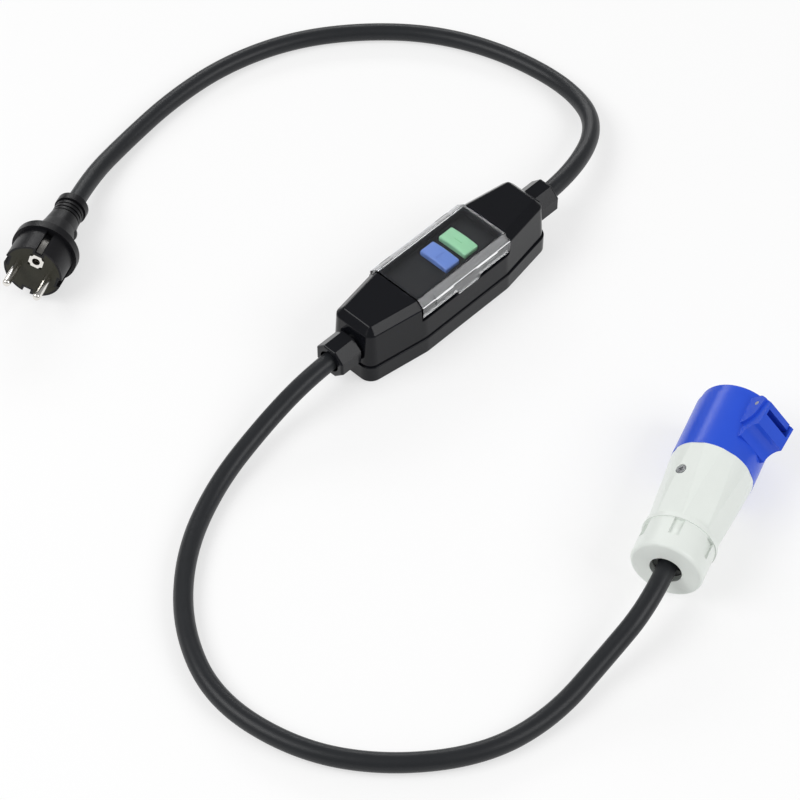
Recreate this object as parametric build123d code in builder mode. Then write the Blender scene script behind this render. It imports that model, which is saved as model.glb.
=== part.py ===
"""In-line residual current device with a mains plug lead and a camping connector lead.

The housing stands on its base at the origin with its long axis on X. The plug lies behind it,
toward -X +Y, and the connector in front of it, toward -Y. Both cords lie on the same surface.
All lengths are in millimetres.
"""
import os
from math import atan, cos, pi, radians, sin, tan

from build123d import *

os.makedirs("parts", exist_ok=True)

# Shared clearances
sliding_gap = 0.25
loose_gap = 0.3
running_gap = 0.06
cut_past = 1.0

# Cable
cable_dia = 11.0
core_dia = 3.2
cable_radius = cable_dia / 2
core_radius = core_dia / 2

# Housing outline
housing_length = 151.0
housing_width = 46.0
housing_end_width = 33.0
housing_height = 40.8
waist_length = 68.0
corner_radius = 8.0
waist_radius = 14.0
wall = 2.2
foot_round = 1.0

# Housing base
split_drop = 9.0
base_floor = 2.4
rim_step = 1.0
rim_round = 0.6
gasket_width = 1.2
gasket_depth = 1.0
boss_radius = 3.4
boss_x = 56.0
boss_y = 10.8
screw_radius = 1.5
screw_hole_radius = 1.7
screw_head_radius = 2.8
screw_head_depth = 3.0
screw_length = 20.0
drive_width = 0.8
drive_depth = 0.9
recess_depth = 0.4
recess_length = 50.0
recess_width = 26.0

# Housing top
draft_angle = 3
edge_drop = 4.2
edge_run = 4.9
edge_round = 1.6
ceiling_height = 33.2
loft_height = 38.4
loft_half_width = 11.4

# Control recess and panel
panel_top = 36.0
panel_thickness = 1.2
panel_length = 68.0
panel_margin = 1.7
panel_corner = 2.0
button_pitch = 15.6
button_middle = 7.0
button_length = 11.3
button_margin = 3.8
button_top = 39.4
button_crown = 0.7
button_round = 1.1
button_flange = 1.2
flange_thickness = 1.5
flange_gap = 0.1
stem_radius = 2.0
test_travel = 2.0
reset_travel = 3.0
mark_height = 0.25
mark_length = 6.0
mark_width = 1.0

# Clear cover
cover_length = 72.6
cover_thickness = 1.6
cover_top = 42.0
cover_side_step = 1.7
cover_bevel = 5.1
cover_shoulder = 37.6
cover_skirt = 30.0
cover_round = 0.8
tab_start = -7.0
tab_end = 11.0
tab_drop = 3.0
grip_start = -26.0
grip_end = 25.0
grip_low = 33.4
grip_rise = 0.6
seat_gap = 0.3

# Cover hinge
hinge_inset = 1.1
hinge_z = 33.0
knuckle_radius = 1.9
knuckle_length = 8.0
lug_radius = 1.7
lug_length = 9.0
cover_pin_radius = 0.9
hinge_edge = 35.2

# Cable glands on the housing
gland_height = 21.0
spigot_radius = 8.2
spigot_reach = 84.6
nut_start = 76.0
nut_end = 91.2
nut_across = 22.4
nut_round = 1.4
nut_mouth_radius = 6.9
seal_radius = 7.0
seal_length = 7.0
cord_start = 86.0
tail_end = 62.0

# Cable clamps inside the housing
clamp_x = 67.0
clamp_length = 5.0
clamp_half_width = 9.8
clamp_arm_rise = 3.5
clamp_bar_thickness = 2.2
clamp_screw_radius = 1.1
clamp_screw_y = 8.0
clamp_screw_length = 9.0
clamp_head_radius = 1.75
clamp_head_height = 1.2

# Circuit board and what stands on it
board_length = 80.0
board_gap = 3.3
board_thickness = 1.6
board_post_height = 6.0
board_post_radius = 2.2
board_post_x = 33.0
board_post_inset = 4.0
frame_start = -9.0
frame_end = 24.0
frame_half_width = 13.0
frame_plate_top = 22.0
frame_plate_thickness = 2.0
frame_leg = 2.5
carriage_length = 5.0
carriage_width = 17.0
carriage_thickness = 2.5
contact_thickness = 1.3
contact_size = 4.0
contact_y = 6.0
dome_radius = 2.4
dome_height = 1.4
spring_wire = 0.6
spring_radius = 3.4
spring_turns = 5
wire_spread = 1.9
wire_rise = 1.1
earth_drop = 2.2
core_x = -24.0
core_outer = 10.0
core_inner = 5.6
core_thickness = 8.0
winding_thickness = 0.8
winding_angle = 250
coil_x = 32.0
coil_length = 11.0
coil_radius = 6.0
coil_bore_radius = 2.1
coil_tube_radius = 3.1
coil_cheek = 1.0
coil_cheek_radius = 6.8
plunger_radius = 2.04
plunger_end = 39.5
plunger_length = 17.0
plunger_head_radius = 2.8
plunger_head = 1.5
capacitor_x = -14.0
capacitor_y = 11.0
capacitor_radius = 3.5
capacitor_height = 14.0
relay_x = 30.0
relay_y = -12.0
relay_length = 8.0
relay_width = 7.0
relay_height = 11.0
resistor_x = 30.0
resistor_y = 11.75
resistor_pitch = 3.5
resistor_length = 6.0
resistor_radius = 1.3
varistor_x = -34.0
varistor_y = 9.0
varistor_radius = 5.0
varistor_thickness = 3.0

# Plug: stations run back from its face along its axis
plug_face = (-164.1, 170.9, 23.0)
plug_heading = 207.6
plug_pitch = 8
plug_roll = 16.9
plug_radius = 18.0
plug_depth = 17.6
flange_radius = 20.15
flange_length = 5.2
flange_round = 1.8
cone_start_radius = 14.2
cone_mid_radius = 10.4
cone_mid = 40.0
cone_end_radius = 9.2
cone_end = 49.0
ring_radius = 9.0
ring_root_radius = 7.9
ring_width = 1.9
ring_gap = 1.1
ring_count = 3
bead_radius = 9.9
bead_round = 1.9
bead_length = 4.9
ring_round = 0.5
root_round = 2.5
plug_length = 68.0
bump_radius = 5.0
bump_station = 41.0
bump_offset = 6.6
guide_width = 5.4
guide_depth = 2.2
clip_slot_width = 4.6
clip_slot_depth = 3.4
clip_slot_length = 14.6
insert_wall = 1.3
insert_depth = 9.0
chamber_radius = 12.6
chamber_depth = 22.0
neck_radius = 9.2
pin_radius = 2.4
pin_spacing = 19.0
pin_length = 19.0
pin_seat = 12.0
pin_root_radius = 2.0
pin_tip_round = 1.9
earth_offset = 8.3
earth_bore_radius = 2.45
earth_tube_radius = 3.2
earth_tube_length = 14.0
earth_bore_depth = 12.5
earth_plate_size = 8.8
earth_plate_thickness = 1.0
earth_plate_notch = 1.9
clip_width = 3.6
clip_thickness = 0.9
clip_bow = 1.0
clip_start = 0.8
plug_tail_start = 30.0

# Connector: stations run forward from the joint between its white body and its socket
connector_joint = (-3.2, -208.2, 24.0)
connector_heading = 20.3
hinge_roll = 42
socket_radius = 23.9
socket_front = 39.6
socket_wall = 2.6
socket_floor = 3.0
key_width = 4.0
key_depth = 1.2
sleeve_radius = 18.4
sleeve_wall = 2.2
sleeve_reach = -24.0
body_radius = 23.8
body_rear_radius = 20.3
body_rear = -48.5
body_wall = 2.6
facet_front = 23.5
facet_rear = 18.9
facet_turn = 40
thread_radius = 17.0
thread_reach = -60.0
thread_bore_radius = 12.6
shoulder_station = -52.0
shoulder_bore_radius = 6.5
coupling_front = -48.8
coupling_room_radius = 14.0
coupling_rear = -72.0
coupling_radius = 20.6
collar_radius = 21.3
collar_length = 3.0
coupling_mouth_radius = 9.2
coupling_face = 4.0
coupling_round = 2.0
grip_count = 6
grip_turn = 10
grip_window_length = 11.0
grip_window_width = 6.0
grip_window_depth = 1.8
claw_count = 6
claw_ring_radius = 12.4
claw_ring_bore = 8.5
claw_outer = 11.6
claw_inner = 6.0
claw_reach = -67.5
claw_gap = 2.2
connector_cord_station = -70.0
connector_tail_end = -22.0
carrier_radius = 15.4
carrier_front = 35.0
carrier_round = 1.0
carrier_slit = 0.25
carrier_room = 0.7
contact_front = 34.4
mouth_ease = 0.9
contact_bore_depth = 28.0
contact_circle = 8.6
live_bore_radius = 2.5
live_tube_radius = 3.4
earth_pin_bore_radius = 3.0
earth_pin_tube_radius = 3.9
contact_rear = -6.0
terminal_screw_radius = 1.4
terminal_screw_length = 3.4
terminal_station = -3.0
body_screw_station = -18.3
body_screw_turn = -83
body_screw_radius = 1.6
body_screw_head = 2.9
body_screw_head_height = 1.2
body_screw_floor = 20.8
body_screw_length = 4.6

# Connector hinge and lid
block_radial = 35.5
block_half_width = 12.6
block_rear = 18.5
block_rear_drop = 2.0
block_shoulder = 34.2
block_nose = 28.6
block_blend = 6.5
block_side_cut = 1.6
pocket_half_width = 9.4
pocket_rear = 26.6
pocket_floor = 23.7
lid_pin_radial = 26.6
lid_pin_station = 34.4
lid_pin_radius = 1.3
barrel_radius = 2.6
barrel_half_length = 9.1
spring_room = 4.6
lid_spring_radius = 2.4
lid_spring_wire = 0.7
lid_spring_turns = 4
lid_gap = 0.2
lid_depth = 6.0
lid_radius = 22.9
lid_wall = 2.4
lid_crown = 1.4
lid_round = 1.2
lid_cavity_radius = 19.0
arm_radial = 33.2
arm_half_width = 9.1
arm_rear = 2.2
arm_front = 2.2
arm_root = 20.0
arm_drop = 1.2
ear_foot = (20.3, 21.0)
ear_bend = (24.6, 22.6)
ear_top = (30.1, 31.1)
ear_step = 2.0
gasket_inner = 17.2
gasket_outer = 21.6
gasket_thickness = 1.4

# Routes of the two cords, from the housing's glands to the plug and to the connector
plug_cord_route = [
    (86, 0, 21), (114, 0, 21), (162, 21, 12.5), (181, 60, 5.5), (176, 110, 5.5),
    (158, 154, 5.5), (128, 189, 5.5), (90, 216, 5.5), (45, 230, 5.5), (-1, 231, 5.5),
    (-47, 224, 5.5),
]
connector_cord_route = [
    (-86, 0, 21), (-108, 0, 21), (-144, -1, 12), (-189, -9, 5.5), (-233, -31, 5.5),
    (-268, -66, 5.5), (-287, -111, 5.5), (-279, -163, 5.5), (-254, -203, 5.5),
    (-214, -235, 5.5), (-172, -245, 5.5), (-129, -243, 13.5),
]
plug_cord_lead = 26.0
connector_cord_lead = 27.0

# Sizes that follow the housing's width and its glands
half_length = housing_length / 2
half_width = housing_width / 2
cover_half_side = half_width - cover_side_step
cover_half_top = cover_half_side - cover_bevel
hinge_y = cover_half_side - hinge_inset
panel_width = 2 * (cover_half_top - panel_margin)
button_width = panel_width - 2 * button_margin
board_width = housing_width - 2 * (rim_step + wall + board_gap)
board_post_y = board_width / 2 - board_post_inset
clamp_arm_top = gland_height + clamp_arm_rise
base_height = gland_height - split_drop
spigot_root = half_length - rim_step - 2 * wall
shell_height = housing_height - base_height
edge_slope = atan(edge_drop / edge_run)
side_turn = radians(90) - edge_slope
board_top = base_floor + board_post_height + board_thickness


def from_angles(heading, pitch):
    """Unit vector of a heading in plan and a pitch above it, in degrees."""
    turn, rise = radians(heading), radians(pitch)
    return Vector(cos(turn) * cos(rise), sin(turn) * cos(rise), sin(rise))


# The plug's frame: X toward its upper pin, Y toward its earth socket, Z back along its axis
plug_forward = from_angles(plug_heading, plug_pitch)
plug_side = plug_forward.cross(Vector(0, 0, 1)).normalized()
plug_up = plug_side.cross(plug_forward)
plug_x = plug_side * cos(radians(plug_roll)) + plug_up * sin(radians(plug_roll))
plug_plane = Plane(origin=plug_face, x_dir=plug_x, z_dir=plug_forward * -1)

# The connector's frame: X out to its hinge, Z forward along its axis
connector_forward = from_angles(connector_heading, 0)
connector_side = connector_forward.cross(Vector(0, 0, 1)).normalized()
hinge_x = connector_side * cos(radians(hinge_roll)) + Vector(0, 0, 1) * sin(radians(hinge_roll))
connector_plane = Plane(origin=connector_joint, x_dir=hinge_x, z_dir=connector_forward)


def keep(piece, name):
    """Label a finished piece and write its STEP file."""
    piece.part.label = name
    export_step(piece.part, f"parts/{name}.step")


def plan_outline(inset):
    """Plan of the housing, inset from the rim: straight middle, tapered and rounded ends."""
    with BuildSketch() as outline:
        with BuildLine():
            Polyline(
                (half_length - inset, housing_end_width / 2 - inset),
                (waist_length / 2, half_width - inset),
                (-waist_length / 2, half_width - inset),
                (inset - half_length, housing_end_width / 2 - inset),
                (inset - half_length, inset - housing_end_width / 2),
                (-waist_length / 2, inset - half_width),
                (waist_length / 2, inset - half_width),
                (half_length - inset, inset - housing_end_width / 2),
                close=True,
            )
        make_face()
        columns = outline.vertices().group_by(Axis.X)
        fillet(columns[0] + columns[-1], corner_radius - inset)
        fillet(outline.vertices().filter_by(lambda v: abs(v.Y) > half_width - inset - rim_step), waist_radius)
    return outline.sketch


def roof_points(inset, left_low, right_low):
    """Section of the covered middle, inset from the cover's outside, as Y and Z points."""
    top = cover_top - inset
    half_top = cover_half_top - inset * tan(edge_slope / 2)
    side = cover_half_side - inset
    shoulder = cover_shoulder - inset * tan(side_turn / 2)
    return [
        (-side, left_low), (-side, shoulder), (-half_top, top),
        (half_top, top), (side, shoulder), (side, right_low),
    ]


def bend_radii(points):
    """Arc radius at each corner of a route: a share of its shorter run over tan(half the turn)."""
    radii = []
    for before, here, after in zip(points, points[1:], points[2:]):
        turn = radians((here - before).get_angle(after - here))
        radii.append(0.45 * min((here - before).length, (after - here).length) / tan(turn / 2))
    return radii


def swept_tube(points, radius):
    """Round tube along straight runs joined by tangent arcs, and the length of its path."""
    with BuildPart() as tube:
        with BuildLine() as path:
            FilletPolyline(*points, radius=bend_radii(points))
        with BuildSketch(Plane(origin=points[0], z_dir=points[1] - points[0])):
            Circle(radius)
        sweep(path=path.wires()[0])
    return tube, path.wires()[0].length


def placed(plane, points):
    """Points given in a plane's own axes, as vectors in the world."""
    return [plane.from_local_coords(Vector(*point)) for point in points]


def keep_cord(name, points):
    """A free cord as a plain tube, with its radii and its volume printed."""
    tube, length = swept_tube(points, cable_radius)
    ideal = pi * cable_radius**2 * length
    print(name, "length", round(length), "radii", [round(r) for r in bend_radii(points)],
          "volume against section times length", round(tube.part.volume / ideal, 5))
    keep(tube, name)


def coil_spring(plane, radius, wire_radius, height, turns, steps_per_turn=8):
    """Helical wire spring as runs joined by arcs, standing on a plane."""
    steps = turns * steps_per_turn
    route = [
        (
            radius * cos(2 * pi * i / steps_per_turn),
            radius * sin(2 * pi * i / steps_per_turn),
            wire_radius + (height - 2 * wire_radius) * i / steps,
        )
        for i in range(steps + 1)
    ]
    return swept_tube(placed(plane, route), wire_radius)[0]


# Housing base: a tray with a stepped rim, screw columns, board posts and cable cradles
with BuildPart() as housing_base:
    with BuildSketch():
        add(plan_outline(0))
    extrude(amount=base_height)
    fillet(housing_base.edges().group_by(Axis.Z)[0], foot_round)
    fillet(housing_base.edges().group_by(Axis.Z)[-1], rim_round)
    with BuildSketch(Plane.XY.offset(base_floor)):
        add(plan_outline(rim_step + wall))
    extrude(amount=base_height, mode=Mode.SUBTRACT)
    with BuildSketch(Plane.XY.offset(base_height - gasket_depth)):
        add(plan_outline(rim_step + (wall - gasket_width) / 2))
        add(plan_outline(rim_step + (wall + gasket_width) / 2), mode=Mode.SUBTRACT)
    extrude(amount=gasket_depth + cut_past, mode=Mode.SUBTRACT)
    with BuildSketch(Plane.XY.offset(base_floor)):
        with GridLocations(2 * boss_x, 2 * boss_y, 2, 2):
            Circle(boss_radius)
    extrude(amount=base_height - base_floor)
    with BuildSketch(Plane.XY.offset(base_floor)):
        with GridLocations(2 * board_post_x, 2 * board_post_y, 2, 2):
            Circle(board_post_radius)
    extrude(amount=board_post_height)
    with BuildSketch(Plane.XY.offset(base_floor)):
        with GridLocations(2 * clamp_x, 0, 2, 1):
            Rectangle(clamp_length, 2 * clamp_half_width)
    extrude(amount=clamp_arm_top - base_floor)
    with BuildSketch(Plane.YZ.offset(-half_length)):
        with Locations((0, gland_height)):
            Circle(cable_radius)
        with Locations((0, (gland_height + clamp_arm_top + cut_past) / 2)):
            Rectangle(cable_dia, clamp_arm_top + cut_past - gland_height)
    extrude(amount=housing_length, mode=Mode.SUBTRACT)
    with BuildSketch(Plane.XY.offset(clamp_arm_top)):
        with GridLocations(2 * clamp_x, 2 * clamp_screw_y, 2, 2):
            Circle(clamp_screw_radius)
    extrude(amount=clamp_bar_thickness - clamp_screw_length, mode=Mode.SUBTRACT)
    with BuildSketch():
        with GridLocations(2 * boss_x, 2 * boss_y, 2, 2):
            Circle(screw_hole_radius)
    extrude(amount=base_height + cut_past, mode=Mode.SUBTRACT)
    with BuildSketch():
        with GridLocations(2 * boss_x, 2 * boss_y, 2, 2):
            Circle(screw_head_radius + sliding_gap)
    extrude(amount=screw_head_depth, mode=Mode.SUBTRACT)
    with BuildSketch():
        Rectangle(recess_length, recess_width)
    extrude(amount=recess_depth, mode=Mode.SUBTRACT)
keep(housing_base, "housing_base")

# Housing gasket: a soft ring in the rim's groove
with BuildPart() as housing_gasket:
    with BuildSketch(Plane.XY.offset(base_height - gasket_depth)):
        add(plan_outline(rim_step + (wall - gasket_width) / 2))
        add(plan_outline(rim_step + (wall + gasket_width) / 2), mode=Mode.SUBTRACT)
    extrude(amount=gasket_depth)
keep(housing_gasket, "housing_gasket")

# Housing screws: four pan heads in the base, driven up into the top
with BuildPart() as housing_screws:
    with BuildSketch(Plane.XY.offset(recess_depth)):
        with GridLocations(2 * boss_x, 2 * boss_y, 2, 2):
            Circle(screw_head_radius)
    extrude(amount=screw_head_depth - recess_depth)
    with BuildSketch(Plane.XY.offset(screw_head_depth)):
        with GridLocations(2 * boss_x, 2 * boss_y, 2, 2):
            Circle(screw_radius)
    extrude(amount=screw_length)
    with BuildSketch(Plane.XY.offset(recess_depth)):
        with GridLocations(2 * boss_x, 2 * boss_y, 2, 2):
            Rectangle(screw_head_radius, drive_width)
            Rectangle(drive_width, screw_head_radius)
    extrude(amount=drive_depth, mode=Mode.SUBTRACT)
keep(housing_screws, "housing_screws")

# Housing top: drafted shell with sloped long edges, gland spigots and the control recess
lower_room = gland_height + spigot_radius - cut_past
control_floor = panel_top - panel_thickness
zone_half = cover_length / 2 + seat_gap
seat_inset = cover_thickness + seat_gap
test_x = button_middle - button_pitch / 2
reset_x = button_middle + button_pitch / 2
loft_start = zone_half + wall
loft_end = spigot_root
with BuildPart() as housing_top:
    with BuildSketch(Plane.XY.offset(base_height)):
        add(plan_outline(rim_step))
    extrude(amount=shell_height, taper=draft_angle)
    top_edges = housing_top.faces().sort_by(Axis.Z)[-1].edges()
    chamfer(top_edges, length=edge_run, length2=edge_drop)
    soft_edges = housing_top.edges().filter_by_position(
        Axis.Z, housing_height - edge_drop - edge_run, housing_height
    ).filter_by(lambda e: abs(e.tangent_at(0).Z) < sin(radians(5)))
    fillet(soft_edges, edge_round)
    for side in (-1, 1):
        with BuildSketch(Plane.YZ.offset(side * spigot_root)):
            with Locations((0, gland_height)):
                Circle(spigot_radius)
        extrude(amount=side * (spigot_reach - spigot_root))
    with BuildSketch(Plane.XY.offset(base_height)):
        add(plan_outline(rim_step + wall))
    extrude(amount=lower_room - base_height, taper=draft_angle, mode=Mode.SUBTRACT)
    with BuildSketch(Plane.XY.offset(lower_room)):
        Rectangle(2 * zone_half - 2 * wall, panel_width + 2 * seat_gap)
    extrude(amount=ceiling_height - lower_room, mode=Mode.SUBTRACT)
    with BuildSketch(Plane.XY.offset(lower_room)):
        with GridLocations(loft_start + loft_end, 0, 2, 1):
            Rectangle(loft_end - loft_start, 2 * loft_half_width)
    extrude(amount=loft_height - lower_room, mode=Mode.SUBTRACT)
    with BuildSketch(Plane.XY.offset(base_height)):
        with GridLocations(2 * boss_x, 2 * boss_y, 2, 2):
            Circle(boss_radius)
    extrude(amount=loft_height - base_height)
    with BuildSketch(Plane.XY.offset(base_height)):
        with GridLocations(2 * boss_x, 2 * boss_y, 2, 2):
            Circle(screw_radius)
    extrude(amount=screw_head_depth + screw_length - base_height, mode=Mode.SUBTRACT)
    with BuildSketch(Plane.YZ.offset(-spigot_reach)):
        with Locations((0, gland_height)):
            Circle(cable_radius + sliding_gap)
    extrude(amount=2 * spigot_reach, mode=Mode.SUBTRACT)
    with BuildSketch(Plane.YZ.offset(-spigot_reach)):
        with Locations((0, gland_height)):
            Circle(seal_radius)
    extrude(amount=seal_length, mode=Mode.SUBTRACT)
    with BuildSketch(Plane.YZ.offset(spigot_reach)):
        with Locations((0, gland_height)):
            Circle(seal_radius)
    extrude(amount=-seal_length, mode=Mode.SUBTRACT)
    seat = roof_points(seat_inset, cover_skirt - tab_drop - seat_gap, hinge_z - knuckle_radius - seat_gap)
    with BuildSketch(Plane.YZ.offset(-zone_half)):
        with BuildLine():
            Polyline(
                *seat,
                (half_width, seat[-1][1]), (half_width, cover_top),
                (-half_width, cover_top), (-half_width, seat[0][1]),
                close=True,
            )
        make_face()
    extrude(amount=2 * zone_half, mode=Mode.SUBTRACT)
    with BuildSketch(Plane.XY.offset(control_floor)):
        RectangleRounded(panel_length, panel_width, panel_corner)
    extrude(amount=cover_top - control_floor, mode=Mode.SUBTRACT)
    with BuildSketch(Plane.XY.offset(control_floor)):
        with Locations((test_x, 0), (reset_x, 0)):
            Rectangle(button_length + 2 * loose_gap, button_width + 2 * loose_gap)
    extrude(amount=ceiling_height - control_floor, mode=Mode.SUBTRACT)
    with BuildSketch(Plane.YZ.offset(-cover_length / 2 - seat_gap)):
        with Locations((hinge_y, hinge_z)):
            Circle(knuckle_radius + seat_gap)
    extrude(amount=knuckle_length + 2 * seat_gap, mode=Mode.SUBTRACT)
    with BuildSketch(Plane.YZ.offset(cover_length / 2 + seat_gap)):
        with Locations((hinge_y, hinge_z)):
            Circle(knuckle_radius + seat_gap)
    extrude(amount=-knuckle_length - 2 * seat_gap, mode=Mode.SUBTRACT)
    for side in (-1, 1):
        with BuildSketch(Plane.YZ.offset(side * (cover_length / 2 - knuckle_length - seat_gap))):
            with Locations((hinge_y, hinge_z)):
                Circle(lug_radius)
            with Locations((hinge_y - lug_radius / 2, hinge_z)):
                Rectangle(lug_radius, 2 * lug_radius)
        extrude(amount=-side * lug_length)
    with BuildSketch(Plane.YZ.offset(-cover_length / 2)):
        with Locations((hinge_y, hinge_z)):
            Circle(cover_pin_radius)
    extrude(amount=cover_length, mode=Mode.SUBTRACT)
keep(housing_top, "housing_top")

# Front panel: a plate in the control recess with an opening for each button
with BuildPart() as front_panel:
    with BuildSketch(Plane.XY.offset(control_floor)):
        RectangleRounded(panel_length - 2 * sliding_gap, panel_width - 2 * sliding_gap, panel_corner)
        with Locations((test_x, 0), (reset_x, 0)):
            Rectangle(button_length + 2 * sliding_gap, button_width + 2 * sliding_gap, mode=Mode.SUBTRACT)
    extrude(amount=panel_thickness)
keep(front_panel, "front_panel")


def push_button(place, stem_end, mark_turn):
    """Crowned button with a retaining flange, a stem and a raised mark, at a place on X."""
    flange_top = ceiling_height - flange_gap
    with BuildPart() as button:
        with BuildSketch(Plane.YZ.offset(place - button_length / 2)):
            with BuildLine():
                Line((-button_width / 2, flange_top), (button_width / 2, flange_top))
                Line((button_width / 2, flange_top), (button_width / 2, button_top - button_crown))
                ThreePointArc(
                    (button_width / 2, button_top - button_crown), (0, button_top),
                    (-button_width / 2, button_top - button_crown),
                )
                Line((-button_width / 2, button_top - button_crown), (-button_width / 2, flange_top))
            make_face()
        extrude(amount=button_length)
        upper = button.edges().filter_by_position(Axis.Z, control_floor, button_top)
        fillet(upper, button_round)
        with BuildSketch(Plane.XY.offset(flange_top)):
            with Locations((place, 0)):
                Rectangle(button_length + 2 * button_flange, button_width + 2 * button_flange)
        extrude(amount=-flange_thickness)
        with BuildSketch(Plane.XY.offset(stem_end)):
            with Locations((place, 0)):
                Circle(stem_radius)
        extrude(amount=flange_top - flange_thickness - stem_end)
        with BuildSketch(Plane.XY.offset(button_top - button_crown)):
            with Locations(Location((place, 0), mark_turn)):
                RectangleRounded(mark_length, mark_width, mark_width / 3)
        extrude(amount=button_crown + mark_height)
    return button


# Buttons: the first presses its test contact, the second drives the contact carriage
flange_base = ceiling_height - flange_gap - flange_thickness
carriage_top = board_top + contact_thickness + reset_travel + flange_gap + carriage_thickness
dome_top = frame_plate_top + dome_height
test_button = push_button(test_x, dome_top + test_travel + flange_gap, 0)
keep(test_button, "test_button")
reset_button = push_button(reset_x, carriage_top, 90)
keep(reset_button, "reset_button")

# Springs of the two buttons, standing on the frame's plate
spring_height = flange_base - frame_plate_top
for place, name in ((test_x, "test_spring"), (reset_x, "reset_spring")):
    foot = Plane(origin=(place, 0, frame_plate_top))
    button_spring = coil_spring(foot, spring_radius, spring_wire / 2, spring_height, spring_turns)
    keep(button_spring, name)

# Clear cover: a bent shell with a grip panel, a finger tab and two hinge knuckles
with BuildPart() as clear_cover:
    outer = roof_points(0, cover_skirt, hinge_edge)
    inner = roof_points(cover_thickness, cover_skirt, hinge_edge)
    with BuildSketch(Plane.YZ.offset(-cover_length / 2)):
        with BuildLine():
            Polyline(*outer, *reversed(inner), close=True)
        make_face()
    extrude(amount=cover_length)
    bends = clear_cover.edges().filter_by(Axis.X).filter_by_position(
        Axis.Z, cover_shoulder - cover_thickness, cover_top
    )
    fillet(bends, cover_round)
    with BuildSketch(Plane.XZ.offset(cover_half_side)):
        with Locations(((tab_start + tab_end) / 2, cover_skirt - tab_drop / 2 + cover_thickness / 2)):
            RectangleRounded(tab_end - tab_start, tab_drop + cover_thickness, cover_round)
    extrude(amount=-cover_thickness)
    grip = roof_points(-grip_rise, grip_low, hinge_edge)
    back = roof_points(cover_thickness / 2, grip_low, hinge_edge)
    with BuildSketch(Plane.YZ.offset(grip_start)):
        with BuildLine():
            Polyline(
                grip[0], grip[1], ((grip[1][0] + grip[2][0]) / 2, (grip[1][1] + grip[2][1]) / 2),
                ((back[1][0] + back[2][0]) / 2, (back[1][1] + back[2][1]) / 2), back[1], back[0],
                close=True,
            )
        make_face()
    extrude(amount=grip_end - grip_start)
    for side in (-1, 1):
        with BuildSketch(Plane.YZ.offset(side * cover_length / 2)):
            with Locations((hinge_y, hinge_z)):
                Circle(knuckle_radius)
            web_middle = (hinge_y + cover_half_side - cover_thickness / 2) / 2
            with Locations((web_middle, (hinge_z + hinge_edge) / 2)):
                Rectangle(cover_thickness, hinge_edge - hinge_z + cover_round)
        extrude(amount=-side * knuckle_length)
    with BuildSketch(Plane.YZ.offset(-cover_length / 2)):
        with Locations((hinge_y, hinge_z)):
            Circle(cover_pin_radius + running_gap)
    extrude(amount=cover_length, mode=Mode.SUBTRACT)
keep(clear_cover, "clear_cover")

# Hinge pin of the clear cover
with BuildPart() as cover_hinge_pin:
    with BuildSketch(Plane.YZ.offset(-cover_length / 2)):
        with Locations((hinge_y, hinge_z)):
            Circle(cover_pin_radius)
    extrude(amount=cover_length)
keep(cover_hinge_pin, "cover_hinge_pin")

# Gland nuts, seals and the ends of the cables held inside the housing
for side, name in ((-1, "near"), (1, "far")):
    with BuildPart() as gland_nut:
        with BuildSketch(Plane.YZ.offset(side * nut_start)):
            with Locations((0, gland_height)):
                RegularPolygon(nut_across / 2, 8, rotation=180 / 8)
        extrude(amount=side * (nut_end - nut_start))
        rim = gland_nut.faces().sort_by(Axis.X)[-1 if side > 0 else 0].edges()
        fillet(rim, nut_round)
        with BuildSketch(Plane.YZ.offset(side * nut_start)):
            with Locations((0, gland_height)):
                Circle(spigot_radius)
        extrude(amount=side * (spigot_reach - nut_start), mode=Mode.SUBTRACT)
        with BuildSketch(Plane.YZ.offset(side * spigot_reach)):
            with Locations((0, gland_height)):
                Circle(nut_mouth_radius)
        extrude(amount=side * (nut_end - spigot_reach), mode=Mode.SUBTRACT)
    keep(gland_nut, f"gland_nut_{name}")

with BuildPart() as gland_seals:
    for side in (-1, 1):
        with BuildSketch(Plane.YZ.offset(side * spigot_reach)):
            with Locations((0, gland_height)):
                Circle(seal_radius)
                Circle(cable_radius, mode=Mode.SUBTRACT)
        extrude(amount=-side * seal_length)
keep(gland_seals, "gland_seals")

with BuildPart() as cable_tails:
    for side in (-1, 1):
        with BuildSketch(Plane.YZ.offset(side * cord_start)):
            with Locations((0, gland_height)):
                Circle(cable_radius)
        extrude(amount=side * (tail_end - cord_start))
keep(cable_tails, "cable_tails")

# Cable clamps: a bar over each cable, screwed down into the cradle
clamp_bottom = gland_height + cable_radius
with BuildPart() as cable_clamps:
    with BuildSketch(Plane.XY.offset(clamp_bottom)):
        with GridLocations(2 * clamp_x, 0, 2, 1):
            Rectangle(clamp_length, 2 * clamp_half_width)
        with GridLocations(2 * clamp_x, 2 * clamp_screw_y, 2, 2):
            Circle(clamp_screw_radius, mode=Mode.SUBTRACT)
    extrude(amount=clamp_bar_thickness)
keep(cable_clamps, "cable_clamps")

with BuildPart() as clamp_screws:
    with BuildSketch(Plane.XY.offset(clamp_bottom + clamp_bar_thickness)):
        with GridLocations(2 * clamp_x, 2 * clamp_screw_y, 2, 2):
            Circle(clamp_head_radius)
    extrude(amount=clamp_head_height)
    with BuildSketch(Plane.XY.offset(clamp_bottom + clamp_bar_thickness)):
        with GridLocations(2 * clamp_x, 2 * clamp_screw_y, 2, 2):
            Circle(clamp_screw_radius)
    extrude(amount=-clamp_screw_length)
keep(clamp_screws, "clamp_screws")

# Circuit board on its posts, with a hole over each post
with BuildPart() as circuit_board:
    with BuildSketch(Plane.XY.offset(board_top - board_thickness)):
        Rectangle(board_length, board_width)
        with GridLocations(2 * board_post_x, 2 * board_post_y, 2, 2):
            Circle(screw_radius, mode=Mode.SUBTRACT)
    extrude(amount=board_thickness)
keep(circuit_board, "circuit_board")

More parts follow.
